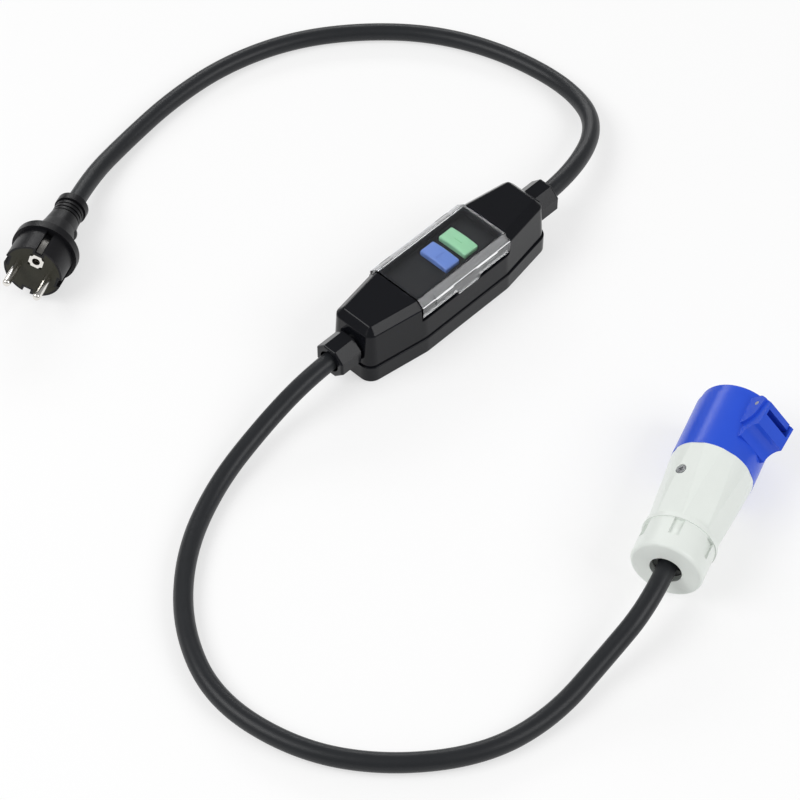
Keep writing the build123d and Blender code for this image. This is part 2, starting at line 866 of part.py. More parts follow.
# Small parts soldered to the board: capacitors, a relay, resistors and a varistor
with BuildPart() as board_components:
    with BuildSketch(Plane.XY.offset(board_top)):
        with GridLocations(0, 2 * capacitor_y, 1, 2):
            with Locations((capacitor_x, 0)):
                Circle(capacitor_radius)
    extrude(amount=capacitor_height)
    with BuildSketch(Plane.XY.offset(board_top)):
        with Locations((relay_x, relay_y)):
            Rectangle(relay_length, relay_width)
    extrude(amount=relay_height)
    with BuildSketch(Plane.YZ.offset(resistor_x - resistor_length / 2)):
        with Locations((resistor_y, board_top + resistor_radius)):
            with GridLocations(resistor_pitch, 0, 2, 1):
                Circle(resistor_radius)
    extrude(amount=resistor_length)
    with BuildSketch(Plane.XZ.offset(-varistor_y)):
        with Locations((varistor_x, board_top + varistor_radius)):
            Circle(varistor_radius)
    extrude(amount=-varistor_thickness)
keep(board_components, "board_components")

# Frame over the board: a plate on four legs, with the test contact's dome on it
with BuildPart() as mechanism_frame:
    frame_middle = (frame_start + frame_end) / 2
    with BuildSketch(Plane.XY.offset(frame_plate_top)):
        with Locations((frame_middle, 0)):
            Rectangle(frame_end - frame_start, 2 * frame_half_width)
        with Locations((reset_x, 0)):
            Circle(stem_radius + sliding_gap, mode=Mode.SUBTRACT)
    extrude(amount=-frame_plate_thickness)
    with BuildSketch(Plane.XY.offset(board_top)):
        with Locations((frame_middle, 0)):
            with GridLocations(
                frame_end - frame_start - frame_leg, 2 * frame_half_width - frame_leg, 2, 2
            ):
                Rectangle(frame_leg, frame_leg)
    extrude(amount=frame_plate_top - frame_plate_thickness - board_top)
keep(mechanism_frame, "mechanism_frame")

with BuildPart() as test_contact:
    with BuildSketch(Plane.XY.offset(frame_plate_top)):
        with Locations((test_x, 0)):
            Circle(dome_radius)
    extrude(amount=dome_height)
    fillet(test_contact.edges().group_by(Axis.Z)[-1], dome_height / 2)
keep(test_contact, "test_contact")

# Contact carriage on the second button's stem, and the fixed contacts below it
with BuildPart() as contact_carriage:
    with BuildSketch(Plane.XY.offset(carriage_top)):
        with Locations((reset_x, 0)):
            Rectangle(carriage_length, carriage_width)
    extrude(amount=-carriage_thickness)
keep(contact_carriage, "contact_carriage")

with BuildPart() as fixed_contacts:
    with BuildSketch(Plane.XY.offset(board_top)):
        with Locations((reset_x, 0)):
            with GridLocations(0, 2 * contact_y, 1, 2):
                Rectangle(contact_size, contact_size)
    extrude(amount=contact_thickness)
keep(fixed_contacts, "fixed_contacts")

# Sensing core: a ring around the live and neutral wires, with its winding
core_height = board_top + core_outer + winding_thickness
core_axis = Axis((core_x, 0, core_height), (1, 0, 0))
core_middle = (core_outer + core_inner) / 2
with BuildPart() as sensing_core:
    with BuildSketch(Plane.YZ.offset(core_x - core_thickness / 2)):
        with Locations((0, core_height)):
            Circle(core_outer)
            Circle(core_inner, mode=Mode.SUBTRACT)
    extrude(amount=core_thickness)
keep(sensing_core, "sensing_core")

with BuildPart() as sensing_winding:
    with BuildSketch(Plane.XZ):
        with Locations((core_x, core_height - core_middle)):
            Rectangle(core_thickness + 2 * winding_thickness, core_outer - core_inner + 2 * winding_thickness)
            Rectangle(core_thickness, core_outer - core_inner, mode=Mode.SUBTRACT)
    revolve(axis=core_axis, revolution_arc=winding_angle)
keep(sensing_winding, "sensing_winding")

# Trip coil: a bobbin on the board, its winding and the plunger that slides in it
coil_height = board_top + coil_cheek_radius
with BuildPart() as coil_bobbin:
    for start in (coil_x - coil_length / 2, coil_x + coil_length / 2 - coil_cheek):
        with BuildSketch(Plane.YZ.offset(start)):
            with Locations((0, coil_height)):
                Circle(coil_cheek_radius)
        extrude(amount=coil_cheek)
    with BuildSketch(Plane.YZ.offset(coil_x - coil_length / 2)):
        with Locations((0, coil_height)):
            Circle(coil_tube_radius)
    extrude(amount=coil_length)
    with BuildSketch(Plane.YZ.offset(coil_x - coil_length / 2)):
        with Locations((0, coil_height)):
            Circle(coil_bore_radius)
    extrude(amount=coil_length, mode=Mode.SUBTRACT)
keep(coil_bobbin, "coil_bobbin")

with BuildPart() as coil_winding:
    with BuildSketch(Plane.YZ.offset(coil_x - coil_length / 2 + coil_cheek)):
        with Locations((0, coil_height)):
            Circle(coil_radius)
            Circle(coil_tube_radius, mode=Mode.SUBTRACT)
    extrude(amount=coil_length - 2 * coil_cheek)
keep(coil_winding, "coil_winding")

with BuildPart() as trip_plunger:
    with BuildSketch(Plane.YZ.offset(plunger_end)):
        with Locations((0, coil_height)):
            Circle(plunger_radius)
    extrude(amount=-plunger_length)
    with BuildSketch(Plane.YZ.offset(plunger_end - plunger_length)):
        with Locations((0, coil_height)):
            Circle(plunger_head_radius)
    extrude(amount=plunger_head)
keep(trip_plunger, "trip_plunger")

# Wires inside the housing: live and neutral through the core, earth straight across
core_level = gland_height + wire_rise
turn_x = coil_x + coil_length / 2 + 2 * core_radius
for side, name in ((1, "live_wire"), (-1, "neutral_wire")):
    near_y, far_y = side * wire_spread, side * (coil_cheek_radius + core_dia)
    supply_wire = swept_tube(placed(Plane.XY, [
        (-tail_end, near_y, core_level), (-boss_x, near_y, core_level),
        (-board_length / 2, near_y, core_height), (capacitor_x, near_y, core_height),
        (capacitor_x, near_y, board_top),
    ]), core_radius)[0]
    keep(supply_wire, f"{name}_in")
    load_wire = swept_tube(placed(Plane.XY, [
        (tail_end, near_y, core_level), (boss_x, near_y, core_level),
        (turn_x, far_y, (core_level + frame_plate_top) / 2), (turn_x, far_y, board_top),
    ]), core_radius)[0]
    keep(load_wire, f"{name}_out")

earth_level = gland_height - earth_drop
earth_floor = base_floor + core_radius
earth_wire = swept_tube(placed(Plane.XY, [
    (-tail_end, 0, earth_level), (-boss_x, 0, earth_level),
    (-board_length / 2 - 2 * core_radius, 0, earth_floor),
    (board_length / 2 + 2 * core_radius, 0, earth_floor),
    (boss_x, 0, earth_level), (tail_end, 0, earth_level),
]), core_radius)[0]
keep(earth_wire, "earth_wire")

# Plug body: notched front, flange, cone, bend relief rings and bead, hollow inside
plug_section = Plane(origin=plug_face, x_dir=plug_x, z_dir=plug_plane.y_dir * -1)
plug_axis = Axis(plug_plane.origin, plug_plane.z_dir)


def plug_outline(inset):
    """Front outline of the plug: a circle with side notches and two clip slots."""
    with BuildSketch() as outline:
        Circle(plug_radius - inset)
        with GridLocations(2 * plug_radius, 0, 2, 1):
            Rectangle(2 * guide_depth + 2 * inset, guide_width + 2 * inset, mode=Mode.SUBTRACT)
        with GridLocations(0, 2 * plug_radius, 1, 2):
            Rectangle(clip_slot_width + 2 * inset, 2 * clip_slot_depth + 2 * inset, mode=Mode.SUBTRACT)
    return outline.sketch


flange_end = plug_depth + flange_length
with BuildPart() as plug_body:
    with BuildSketch(plug_plane):
        add(plug_outline(0))
    extrude(amount=plug_depth)
    with BuildSketch(plug_section) as shell:
        with BuildLine():
            profile = [
                (0, plug_depth), (flange_radius, plug_depth), (flange_radius, flange_end),
                (cone_start_radius, flange_end), (cone_mid_radius, cone_mid),
                (cone_end_radius, cone_end), (ring_root_radius, cone_end),
            ]
            for i in range(ring_count):
                ring_start = cone_end + ring_gap + i * (ring_width + ring_gap)
                profile += [
                    (ring_root_radius, ring_start), (ring_radius, ring_start),
                    (ring_radius, ring_start + ring_width), (ring_root_radius, ring_start + ring_width),
                ]
            bead_start = cone_end + ring_count * (ring_width + ring_gap) + ring_gap
            profile += [
                (ring_root_radius, bead_start), (bead_radius, bead_start),
                (bead_radius, bead_start + bead_length), (0, bead_start + bead_length),
            ]
            Polyline(*profile, close=True)
        make_face()
        rims = shell.vertices().filter_by(
            lambda v: abs(plug_section.to_local_coords(Vector(*v)).X - flange_radius) < cut_past / 10
        )
        fillet(rims, flange_round)
        ends = shell.vertices().filter_by(
            lambda v: abs(plug_section.to_local_coords(Vector(*v)).X - bead_radius) < cut_past / 10
        )
        fillet(ends, bead_round)
        crests = shell.vertices().filter_by(
            lambda v: abs(plug_section.to_local_coords(Vector(*v)).X - ring_radius) < cut_past / 10
        )
        fillet(crests, ring_round)
        roots = shell.vertices().filter_by(
            lambda v: abs(plug_section.to_local_coords(Vector(*v)).X - cone_start_radius) < cut_past / 10
        )
        fillet(roots, root_round)
    revolve(axis=plug_axis)
    with Locations(plug_plane.from_local_coords(Vector(-bump_offset, 0, bump_station))):
        Sphere(bump_radius)
    with BuildSketch(plug_plane):
        add(plug_outline(insert_wall))
    extrude(amount=insert_depth, mode=Mode.SUBTRACT)
    with BuildSketch(plug_plane.offset(insert_depth)):
        Circle(chamber_radius)
    extrude(amount=chamber_depth - insert_depth, mode=Mode.SUBTRACT)
    with BuildSketch(plug_plane.offset(chamber_depth)):
        Circle(neck_radius)
    extrude(amount=plug_tail_start - chamber_depth, mode=Mode.SUBTRACT)
    with BuildSketch(plug_plane.offset(plug_tail_start)):
        Circle(cable_radius)
    extrude(amount=plug_length - plug_tail_start, mode=Mode.SUBTRACT)
keep(plug_body, "plug_body")

# Plug insert: the hard plate in the face that carries pins and earth socket
with BuildPart() as plug_insert:
    with BuildSketch(plug_plane):
        add(plug_outline(insert_wall))
        with GridLocations(pin_spacing, 0, 2, 1):
            Circle(pin_root_radius, mode=Mode.SUBTRACT)
        with Locations((0, earth_offset)):
            Circle(earth_tube_radius, mode=Mode.SUBTRACT)
    extrude(amount=insert_depth)
    with BuildSketch(plug_plane):
        with Locations((0, earth_offset)):
            Rectangle(earth_plate_size, earth_plate_size)
    extrude(amount=earth_plate_thickness, mode=Mode.SUBTRACT)
keep(plug_insert, "plug_insert")

with BuildPart() as plug_pins:
    with BuildSketch(plug_plane.offset(-pin_length)):
        with GridLocations(pin_spacing, 0, 2, 1):
            Circle(pin_radius)
    extrude(amount=pin_length)
    tips = plug_pins.faces().sort_by(plug_axis)[:2].edges()
    fillet(tips, pin_tip_round)
    with BuildSketch(plug_plane):
        with GridLocations(pin_spacing, 0, 2, 1):
            Circle(pin_root_radius)
    extrude(amount=pin_seat)
keep(plug_pins, "plug_pins")

with BuildPart() as earth_socket:
    with BuildSketch(plug_plane):
        with Locations((0, earth_offset)):
            Rectangle(earth_plate_size, earth_plate_size)
            with GridLocations(earth_plate_size, earth_plate_size, 2, 2):
                Circle(earth_plate_notch, mode=Mode.SUBTRACT)
    extrude(amount=earth_plate_thickness)
    with BuildSketch(plug_plane):
        with Locations((0, earth_offset)):
            Circle(earth_tube_radius)
    extrude(amount=earth_tube_length)
    with BuildSketch(plug_plane):
        with Locations((0, earth_offset)):
            Circle(earth_bore_radius)
    extrude(amount=earth_bore_depth, mode=Mode.SUBTRACT)
keep(earth_socket, "earth_socket")

# Earth clips: a bowed strip in each clip slot
clip_plane = Plane(origin=plug_face, x_dir=plug_plane.y_dir, z_dir=plug_plane.x_dir)
clip_end = clip_slot_length - clip_start
clip_floor = plug_radius - clip_slot_depth
clip_middle = (clip_start + clip_end) / 2
with BuildPart() as earth_clips:
    for side in (-1, 1):
        with BuildSketch(clip_plane):
            with BuildLine():
                low, high = side * clip_floor, side * (clip_floor + clip_thickness)
                ThreePointArc((low, clip_start), (low + side * clip_bow, clip_middle), (low, clip_end))
                Line((low, clip_end), (high, clip_end))
                ThreePointArc((high, clip_end), (high + side * clip_bow, clip_middle), (high, clip_start))
                Line((high, clip_start), (low, clip_start))
            make_face()
        extrude(amount=clip_width / 2, both=True)
keep(earth_clips, "earth_clips")

with BuildPart() as plug_tail:
    with BuildSketch(plug_plane.offset(plug_tail_start)):
        Circle(cable_radius)
    extrude(amount=plug_length - plug_tail_start)
keep(plug_tail, "plug_tail")

# Wires inside the plug, from the cable's end to the pins and the earth socket
wire_bend = plug_tail_start - core_dia
with BuildPart() as plug_wires:
    for side in (-1, 1):
        spread = side * wire_spread
        add(swept_tube(placed(plug_plane, [
            (spread, -wire_rise, plug_tail_start), (spread, -wire_rise, wire_bend),
            (side * pin_spacing / 2, 0, (wire_bend + pin_seat) / 2 - wire_rise),
            (side * pin_spacing / 2, 0, pin_seat),
        ]), core_radius)[0].part)
    add(swept_tube(placed(plug_plane, [
        (0, earth_drop, plug_tail_start), (0, earth_drop, wire_bend),
        (0, earth_offset, (wire_bend + earth_tube_length) / 2), (0, earth_offset, earth_tube_length),
    ]), core_radius)[0].part)
keep(plug_wires, "plug_wires")

# Connector socket: a round shroud with a floor, a rear sleeve and the hinge block
connector_section = Plane(origin=connector_joint, x_dir=hinge_x, z_dir=connector_plane.y_dir * -1)
connector_axis = Axis(connector_plane.origin, connector_plane.z_dir)
bore_radius = socket_radius - socket_wall
blend_end = block_rear - block_blend
live_places = [
    (contact_circle * cos(radians(turn)), contact_circle * sin(radians(turn))) for turn in (60, -60)
]
earth_place = (-contact_circle, 0)
front_slope = (socket_front - block_shoulder) / (block_radial - block_nose)
ear_rise = block_shoulder + front_slope * (block_radial - ear_top[0] - ear_step)
screw_out = connector_plane.x_dir.rotate(connector_axis, body_screw_turn)
screw_foot = connector_plane.origin + connector_forward * body_screw_station
screw_plane = Plane(origin=screw_foot + screw_out * body_screw_floor, z_dir=screw_out)
with BuildPart() as connector_socket:
    with BuildSketch(connector_plane):
        Circle(socket_radius)
    extrude(amount=socket_front)
    with BuildSketch(connector_section):
        with BuildLine():
            outer_foot = (block_radial - block_rear_drop, block_rear)
            Line((bore_radius, blend_end), (socket_radius, blend_end))
            ThreePointArc(
                (socket_radius, blend_end), (socket_radius + block_blend / 3, block_rear - block_blend / 3),
                (socket_radius + block_blend, block_rear),
            )
            Polyline(
                (socket_radius + block_blend, block_rear), outer_foot, (block_radial, block_shoulder),
                (block_nose, socket_front), (bore_radius, socket_front), (bore_radius, blend_end),
            )
        make_face()
    extrude(amount=block_half_width - block_side_cut, both=True)
    with BuildSketch(connector_section):
        with BuildLine():
            ThreePointArc(ear_foot, ear_bend, ear_top)
            Polyline(
                ear_top, (ear_top[0] + ear_step, ear_rise), (block_nose, socket_front),
                (arm_root, socket_front), (arm_root, ear_foot[1]), ear_foot,
            )
        make_face()
    extrude(amount=block_half_width, both=True)
    with BuildSketch(connector_plane):
        Circle(sleeve_radius)
    extrude(amount=sleeve_reach)
    with BuildSketch(connector_section):
        with BuildLine():
            Polyline(
                (pocket_floor, pocket_rear), (block_radial + cut_past, pocket_rear),
                (block_radial + cut_past, socket_front + cut_past),
                (pocket_floor, socket_front + cut_past), close=True,
            )
        make_face()
    extrude(amount=pocket_half_width, both=True, mode=Mode.SUBTRACT)
    with BuildSketch(connector_plane.offset(socket_floor)):
        Circle(bore_radius)
        with Locations((-bore_radius, 0)):
            Rectangle(2 * key_depth, key_width)
    extrude(amount=socket_front - socket_floor, mode=Mode.SUBTRACT)
    with BuildSketch(connector_plane):
        Circle(sleeve_radius - sleeve_wall)
    extrude(amount=sleeve_reach, mode=Mode.SUBTRACT)
    with BuildSketch(connector_plane):
        with Locations(*live_places):
            Circle(live_tube_radius)
        with Locations(earth_place):
            Circle(earth_pin_tube_radius)
    extrude(amount=socket_floor, mode=Mode.SUBTRACT)
    with BuildSketch(screw_plane):
        Circle(body_screw_radius)
    extrude(amount=-body_screw_length, mode=Mode.SUBTRACT)
    with BuildSketch(connector_section):
        with Locations((lid_pin_radial, lid_pin_station)):
            Circle(lid_pin_radius)
    extrude(amount=block_half_width, both=True, mode=Mode.SUBTRACT)
keep(connector_socket, "connector_socket")

# Contact carrier inside the shroud in three sectors, and the contact tubes in it
with BuildPart() as contact_carrier:
    with BuildSketch(connector_plane.offset(socket_floor)):
        Circle(carrier_radius)
    extrude(amount=carrier_front - socket_floor)
    fillet(contact_carrier.edges().sort_by(connector_axis)[-1], carrier_round)
    with BuildSketch(connector_plane.offset(socket_floor)):
        with Locations(*live_places):
            Circle(live_tube_radius + carrier_room)
        with Locations(earth_place):
            Circle(earth_pin_tube_radius + carrier_room)
    extrude(amount=contact_front - socket_floor, mode=Mode.SUBTRACT)
    with BuildSketch(connector_plane.offset(contact_front)):
        with Locations(*live_places):
            Circle(live_bore_radius + mouth_ease)
        with Locations(earth_place):
            Circle(earth_pin_bore_radius + mouth_ease)
    extrude(amount=carrier_front - contact_front, mode=Mode.SUBTRACT)
    with BuildSketch(connector_plane.offset(socket_floor)):
        with PolarLocations(carrier_radius / 2, 3):
            Rectangle(carrier_radius + 2 * cut_past, carrier_slit)
    extrude(amount=carrier_front - socket_floor, mode=Mode.SUBTRACT)
keep(contact_carrier, "contact_carrier")

with BuildPart() as live_contacts:
    with BuildSketch(connector_plane.offset(contact_rear)):
        with Locations(*live_places):
            Circle(live_tube_radius)
    extrude(amount=contact_front - contact_rear)
    with BuildSketch(connector_plane.offset(contact_front)):
        with Locations(*live_places):
            Circle(live_bore_radius)
    extrude(amount=-contact_bore_depth, mode=Mode.SUBTRACT)
keep(live_contacts, "live_contacts")

with BuildPart() as earth_contact:
    with BuildSketch(connector_plane.offset(contact_rear)):
        with Locations(earth_place):
            Circle(earth_pin_tube_radius)
    extrude(amount=contact_front - contact_rear)
    with BuildSketch(connector_plane.offset(contact_front)):
        with Locations(earth_place):
            Circle(earth_pin_bore_radius)
    extrude(amount=-contact_bore_depth, mode=Mode.SUBTRACT)
keep(earth_contact, "earth_contact")

# Terminal screws, one on the outer side of each contact tube
with BuildPart() as terminal_screws:
    tube_sides = [(60, live_tube_radius), (-60, live_tube_radius), (180, earth_pin_tube_radius)]
    for turn, tube_radius in tube_sides:
        outward = connector_plane.x_dir.rotate(connector_axis, turn)
        foot = connector_plane.origin + connector_forward * terminal_station
        foot += outward * (contact_circle + tube_radius)
        with BuildSketch(Plane(origin=foot, z_dir=outward)):
            Circle(terminal_screw_radius)
        extrude(amount=terminal_screw_length)
keep(terminal_screws, "terminal_screws")

# Connector body: a tapered shell with eight flats, ending in a threaded spigot
with BuildPart() as connector_body:
    with BuildSketch(connector_section):
        with BuildLine():
            Polyline(
                (0, 0), (body_radius, 0), (body_rear_radius, body_rear), (0, body_rear), close=True
            )
        make_face()
    revolve(axis=connector_axis)
    with BuildSketch(connector_plane):
        RegularPolygon(facet_front, 8, major_radius=False, rotation=facet_turn)
    with BuildSketch(connector_plane.offset(body_rear)):
        RegularPolygon(facet_rear, 8, major_radius=False, rotation=facet_turn)
    loft(mode=Mode.INTERSECT)
    with BuildSketch(connector_plane.offset(body_rear)):
        Circle(thread_radius)
    extrude(amount=thread_reach - body_rear)
    with BuildSketch(connector_section):
        with BuildLine():
            Polyline(
                (0, 0), (body_radius - body_wall, 0),
                (facet_rear - body_wall, body_rear), (0, body_rear), close=True,
            )
        make_face()
    revolve(axis=connector_axis, mode=Mode.SUBTRACT)
    with BuildSketch(connector_plane.offset(body_rear)):
        Circle(shoulder_bore_radius)
    extrude(amount=shoulder_station - body_rear, mode=Mode.SUBTRACT)
    with BuildSketch(connector_plane.offset(shoulder_station)):
        Circle(thread_bore_radius)
    extrude(amount=thread_reach - shoulder_station, mode=Mode.SUBTRACT)
    with BuildSketch(screw_plane):
        Circle(body_screw_head + sliding_gap)
    extrude(amount=body_wall, mode=Mode.SUBTRACT)
    with BuildSketch(screw_plane):
        Circle(body_screw_radius)
    extrude(amount=-body_wall, mode=Mode.SUBTRACT)
keep(connector_body, "connector_body")

# Connector nut: a collar and a capped skirt with grip windows, screwed on the spigot
with BuildPart() as connector_nut:
    with BuildSketch(connector_section) as shell:
        with BuildLine():
            Polyline(
                (thread_radius, coupling_front), (collar_radius, coupling_front),
                (collar_radius, coupling_front - collar_length),
                (coupling_radius, coupling_front - collar_length),
                (coupling_radius, coupling_rear), (coupling_mouth_radius, coupling_rear),
                (coupling_mouth_radius, coupling_rear + coupling_face),
                (coupling_room_radius, coupling_rear + coupling_face),
                (coupling_room_radius, thread_reach), (thread_radius, thread_reach), close=True,
            )
        make_face()
    revolve(axis=connector_axis)
    tail_face = connector_nut.faces().sort_by(connector_axis)[0]
    fillet(tail_face.edges().sort_by(SortBy.LENGTH)[-1], coupling_round)
    window_middle = coupling_front - collar_length - grip_window_length / 2
    for i in range(grip_count):
        outward = connector_plane.x_dir.rotate(connector_axis, grip_turn + 360 / grip_count * i)
        foot = connector_plane.origin + connector_forward * window_middle
        foot += outward * (coupling_radius - grip_window_depth)
        with BuildSketch(Plane(origin=foot, x_dir=connector_forward, z_dir=outward)):
            Rectangle(grip_window_length, grip_window_width)
        extrude(amount=2 * grip_window_depth, mode=Mode.SUBTRACT)
keep(connector_nut, "connector_nut")

# Cord clamp in the nut: a ring with claws, and the soft seal inside it
with BuildPart() as clamp_ring:
    with BuildSketch(connector_plane.offset(shoulder_station)):
        Circle(claw_ring_radius)
        Circle(claw_ring_bore, mode=Mode.SUBTRACT)
    extrude(amount=thread_reach - shoulder_station)
    with BuildSketch(connector_plane.offset(thread_reach)):
        Circle(claw_outer)
        Circle(claw_inner, mode=Mode.SUBTRACT)
        with PolarLocations(0, claw_count // 2):
            Rectangle(2 * claw_ring_radius, claw_gap, mode=Mode.SUBTRACT)
    extrude(amount=claw_reach - thread_reach)
keep(clamp_ring, "clamp_ring")

with BuildPart() as connector_seal:
    with BuildSketch(connector_plane.offset(shoulder_station)):
        Circle(claw_ring_bore)
        Circle(cable_radius, mode=Mode.SUBTRACT)
    extrude(amount=thread_reach - shoulder_station)
keep(connector_seal, "connector_seal")

with BuildPart() as connector_tail:
    with BuildSketch(connector_plane.offset(connector_cord_station)):
        Circle(cable_radius)
    extrude(amount=connector_tail_end - connector_cord_station)
keep(connector_tail, "connector_tail")

# Wires inside the connector, from the cable's end to the contact tubes
with BuildPart() as connector_wires:
    wire_start = connector_tail_end + core_dia
    wire_stop = contact_rear - core_dia
    for (x, y), (far_x, far_y) in (
        ((wire_rise, wire_spread), live_places[0]),
        ((wire_rise, -wire_spread), live_places[1]),
        ((-earth_drop, 0), earth_place),
    ):
        add(swept_tube(placed(connector_plane, [
            (x, y, connector_tail_end), (x, y, wire_start),
            (far_x, far_y, wire_stop), (far_x, far_y, contact_rear),
        ]), core_radius)[0].part)
keep(connector_wires, "connector_wires")

# Screw that holds the white body to the socket's sleeve
with BuildPart() as connector_screw:
    with BuildSketch(screw_plane):
        Circle(body_screw_head)
    extrude(amount=body_screw_head_height)
    with BuildSketch(screw_plane):
        Circle(body_screw_radius)
    extrude(amount=-body_screw_length)
    with BuildSketch(screw_plane.offset(body_screw_head_height)):
        Rectangle(body_screw_head, drive_width)
        Rectangle(drive_width, body_screw_head)
    extrude(amount=-drive_depth, mode=Mode.SUBTRACT)
keep(connector_screw, "connector_screw")

# Connector lid: a crowned cap with an arm that turns on the hinge pin
lid_rear = socket_front + lid_gap
lid_front = lid_rear + lid_depth
with BuildPart() as connector_lid:
    with BuildSketch(connector_section) as shell:
        with BuildLine():
            Polyline(
                (0, lid_front + lid_crown), (0, lid_rear), (lid_radius, lid_rear), (lid_radius, lid_front),
            )
            ThreePointArc(
                (lid_radius, lid_front), (lid_radius / 2, lid_front + lid_crown * 0.75),
                (0, lid_front + lid_crown),
            )
        make_face()
    revolve(axis=connector_axis)
    fillet(connector_lid.edges().group_by(SortBy.LENGTH)[-1].sort_by(connector_axis)[-1], lid_round)
    with BuildSketch(connector_section):
        with BuildLine():
            Polyline(
                (arm_root, lid_rear), (lid_pin_radial - barrel_radius, lid_rear),
                (lid_pin_radial - barrel_radius, lid_pin_station),
                (lid_pin_radial, lid_pin_station), (lid_pin_radial, lid_pin_station - arm_rear),
                (arm_radial, lid_pin_station - arm_rear), (arm_radial, lid_pin_station + arm_front),
                (lid_radius, lid_front - arm_drop), (arm_root, lid_front - arm_drop), close=True,
            )
        make_face()
    extrude(amount=arm_half_width, both=True)
    with BuildSketch(connector_section):
        with Locations((lid_pin_radial, lid_pin_station)):
            Circle(barrel_radius)
    extrude(amount=barrel_half_length, both=True)
    with BuildSketch(connector_plane.offset(lid_rear)):
        Circle(lid_cavity_radius)
    extrude(amount=lid_depth - lid_wall, mode=Mode.SUBTRACT)
    with BuildSketch(connector_plane.offset(lid_rear)):
        Circle(gasket_outer)
    extrude(amount=gasket_thickness + lid_gap / 2, mode=Mode.SUBTRACT)
    with BuildSketch(connector_section):
        with Locations((lid_pin_radial, lid_pin_station)):
            Circle(barrel_radius + sliding_gap)
    extrude(amount=spring_room / 2, both=True, mode=Mode.SUBTRACT)
    with BuildSketch(connector_section):
        with Locations((lid_pin_radial, lid_pin_station)):
            Circle(lid_pin_radius + running_gap)
    extrude(amount=barrel_half_length, both=True, mode=Mode.SUBTRACT)
keep(connector_lid, "connector_lid")

# Lid gasket, seated in the lid's step, clear of the shroud's rim
with BuildPart() as lid_gasket:
    with BuildSketch(connector_plane.offset(lid_rear + lid_gap / 2)):
        Circle(gasket_outer)
        Circle(gasket_inner, mode=Mode.SUBTRACT)
    extrude(amount=gasket_thickness)
keep(lid_gasket, "lid_gasket")

# Lid hinge pin through the two ears, and the spring around it
with BuildPart() as lid_hinge_pin:
    with BuildSketch(connector_section):
        with Locations((lid_pin_radial, lid_pin_station)):
            Circle(lid_pin_radius)
    extrude(amount=block_half_width, both=True)
keep(lid_hinge_pin, "lid_hinge_pin")

spring_foot = connector_section.from_local_coords(
    Vector(lid_pin_radial, lid_pin_station, sliding_gap - spring_room / 2)
)
lid_spring = coil_spring(
    Plane(origin=spring_foot, x_dir=hinge_x, z_dir=connector_section.z_dir),
    lid_spring_radius - lid_spring_wire / 2, lid_spring_wire / 2,
    spring_room - 2 * sliding_gap, lid_spring_turns,
)
keep(lid_spring, "lid_spring")

# The two free cords, lying on the surface between the housing and their connectors
plug_lead = [(0, 0, plug_length + plug_cord_lead), (0, 0, plug_length)]
keep_cord("cord_plug_side", placed(Plane.XY, plug_cord_route) + placed(plug_plane, plug_lead))
connector_lead = [(0, 0, connector_cord_station - connector_cord_lead), (0, 0, connector_cord_station)]
keep_cord(
    "cord_connector_side",
    placed(Plane.XY, connector_cord_route) + placed(connector_plane, connector_lead),
)
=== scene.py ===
"""Looks of an in-line residual current device with its plug, its connector and two cords."""

from math import cos, radians, sin

import bmesh
import bpy
from bpy.props import FloatProperty, FloatVectorProperty, PointerProperty
from mathutils import Matrix, Vector


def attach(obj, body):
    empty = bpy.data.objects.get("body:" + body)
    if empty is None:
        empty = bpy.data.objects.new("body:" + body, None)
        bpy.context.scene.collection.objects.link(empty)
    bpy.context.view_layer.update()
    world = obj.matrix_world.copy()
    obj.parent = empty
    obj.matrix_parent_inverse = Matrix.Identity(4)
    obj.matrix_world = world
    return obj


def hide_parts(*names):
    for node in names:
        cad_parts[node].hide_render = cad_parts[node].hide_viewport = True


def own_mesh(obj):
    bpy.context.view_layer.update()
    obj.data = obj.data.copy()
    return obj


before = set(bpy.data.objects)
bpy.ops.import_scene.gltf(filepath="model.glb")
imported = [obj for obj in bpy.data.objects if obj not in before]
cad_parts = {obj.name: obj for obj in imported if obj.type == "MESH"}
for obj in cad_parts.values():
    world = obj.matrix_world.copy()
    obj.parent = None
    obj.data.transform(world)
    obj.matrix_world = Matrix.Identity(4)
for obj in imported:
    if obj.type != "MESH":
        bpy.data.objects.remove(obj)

bl_info = {
    "name": "Residual current adapter",
    "version": (1, 0, 0),
    "blender": (4, 5, 0),
    "location": "3D View > Sidebar > Adapter",
    "description": "Finishes, cords and studio of a residual current adapter",
    "category": "Object",
}

# Control points of the two cords, in metres
CORD_POINTS = {
    "cord_plug_side": [
        (0.086, 0, 0.021), (0.114, 0, 0.021), (0.162, 0.021, 0.0125), (0.181, 0.060, 0.0055),
        (0.176, 0.110, 0.0055), (0.158, 0.154, 0.0055), (0.128, 0.189, 0.0055),
        (0.090, 0.216, 0.0055), (0.045, 0.230, 0.0055), (-0.001, 0.231, 0.0055),
        (-0.047, 0.224, 0.0055), (-0.08161, 0.21402, 0.00992), (-0.10442, 0.2021, 0.01354),
    ],
    "cord_connector_side": [
        (-0.086, 0, 0.021), (-0.108, 0, 0.021), (-0.144, -0.001, 0.012), (-0.189, -0.009, 0.0055),
        (-0.233, -0.031, 0.0055), (-0.268, -0.066, 0.0055), (-0.287, -0.111, 0.0055),
        (-0.279, -0.163, 0.0055), (-0.254, -0.203, 0.0055), (-0.214, -0.235, 0.0055),
        (-0.172, -0.245, 0.0055), (-0.129, -0.243, 0.0135), (-0.09418, -0.24185, 0.024),
        (-0.06885, -0.23249, 0.024),
    ],
}

# Floor: room below the object's lowest point, and half its width, in metres
FLOOR_GAP = 0.0002
FLOOR_HALF = 6

# Sensor width in millimetres, and how far the camera sees in metres
SENSOR = 36
SEES_TO = 20

